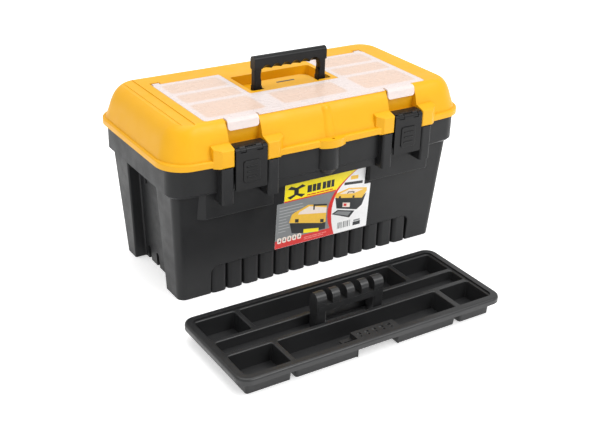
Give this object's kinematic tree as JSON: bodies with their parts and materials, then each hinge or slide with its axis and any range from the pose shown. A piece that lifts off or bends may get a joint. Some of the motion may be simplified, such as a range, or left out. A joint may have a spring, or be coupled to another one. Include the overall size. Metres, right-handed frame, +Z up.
{
  "type": "toolbox with tray",
  "caption": "Moulded plastic toolbox with a domed organiser lid, front latches, a fold-down carry handle and a lift-out tote tray.",
  "frame": {"origin": "centre of the tub's underside, on the surface it stands on", "axes": "+X along the front from left to right, +Y from front to rear, +Z up"},
  "size_m": [0.576, 0.537, 0.3505],
  "materials": {
    "tub_plastic": "moulded dark grey, fine texture",
    "lid_plastic": "moulded yellow, satin",
    "cover_plastic": "milky translucent",
    "black_plastic": "moulded near-black, satin",
    "label_film": "printed film, satin",
    "tray_plastic": "moulded dark grey, satin",
    "pin_steel": "drawn wire"
  },
  "bodies": {
    "tub": {"base_tub": "tub_plastic", "front_label": "label_film", "lid_hinge_pin_left": "pin_steel", "lid_hinge_pin_right": "pin_steel"},
    "lid": {"lid_shell": "lid_plastic", "latch_plate_left": "black_plastic", "latch_plate_right": "black_plastic", "latch_pin_left": "pin_steel", "latch_pin_right": "pin_steel", "cover_hinge_pin_left": "pin_steel", "cover_hinge_pin_right": "pin_steel", "handle_pivot_pin_left": "pin_steel", "handle_pivot_pin_right": "pin_steel"},
    "cover": {"organizer_cover": "cover_plastic"},
    "handle": {"carry_handle": "black_plastic"},
    "flap_left": {"latch_flap_left": "black_plastic"},
    "flap_right": {"latch_flap_right": "black_plastic"},
    "tray": {"tray": "tray_plastic"}
  },
  "joints": [
    {"name": "lid_hinge", "type": "hinge", "parent": "tub", "child": "lid", "pos_m": [0, 0.145, 0.2395], "axis": [-1, 0, 0], "range_deg": [0, 100]},
    {"name": "cover_hinge", "type": "hinge", "parent": "lid", "child": "cover", "pos_m": [0, 0.077, 0.2954], "axis": [-1, 0, 0], "range_deg": [0, 110]},
    {"name": "handle_fold", "type": "hinge", "parent": "lid", "child": "handle", "pos_m": [0, -0.013, 0.29], "axis": [-1, 0, 0], "range_deg": [0, 88]},
    {"name": "latch_left", "type": "hinge", "parent": "lid", "child": "flap_left", "pos_m": [-0.147, -0.146, 0.256], "axis": [-1, 0, 0], "range_deg": [0, 110]},
    {"name": "latch_right", "type": "hinge", "parent": "lid", "child": "flap_right", "pos_m": [0.147, -0.146, 0.256], "axis": [-1, 0, 0], "range_deg": [0, 110]},
    {"name": "tray_lift", "type": "slide", "parent": "tub", "child": "tray", "axis": [0, 0, 1], "range_m": [0, 0.3]}
  ]
}
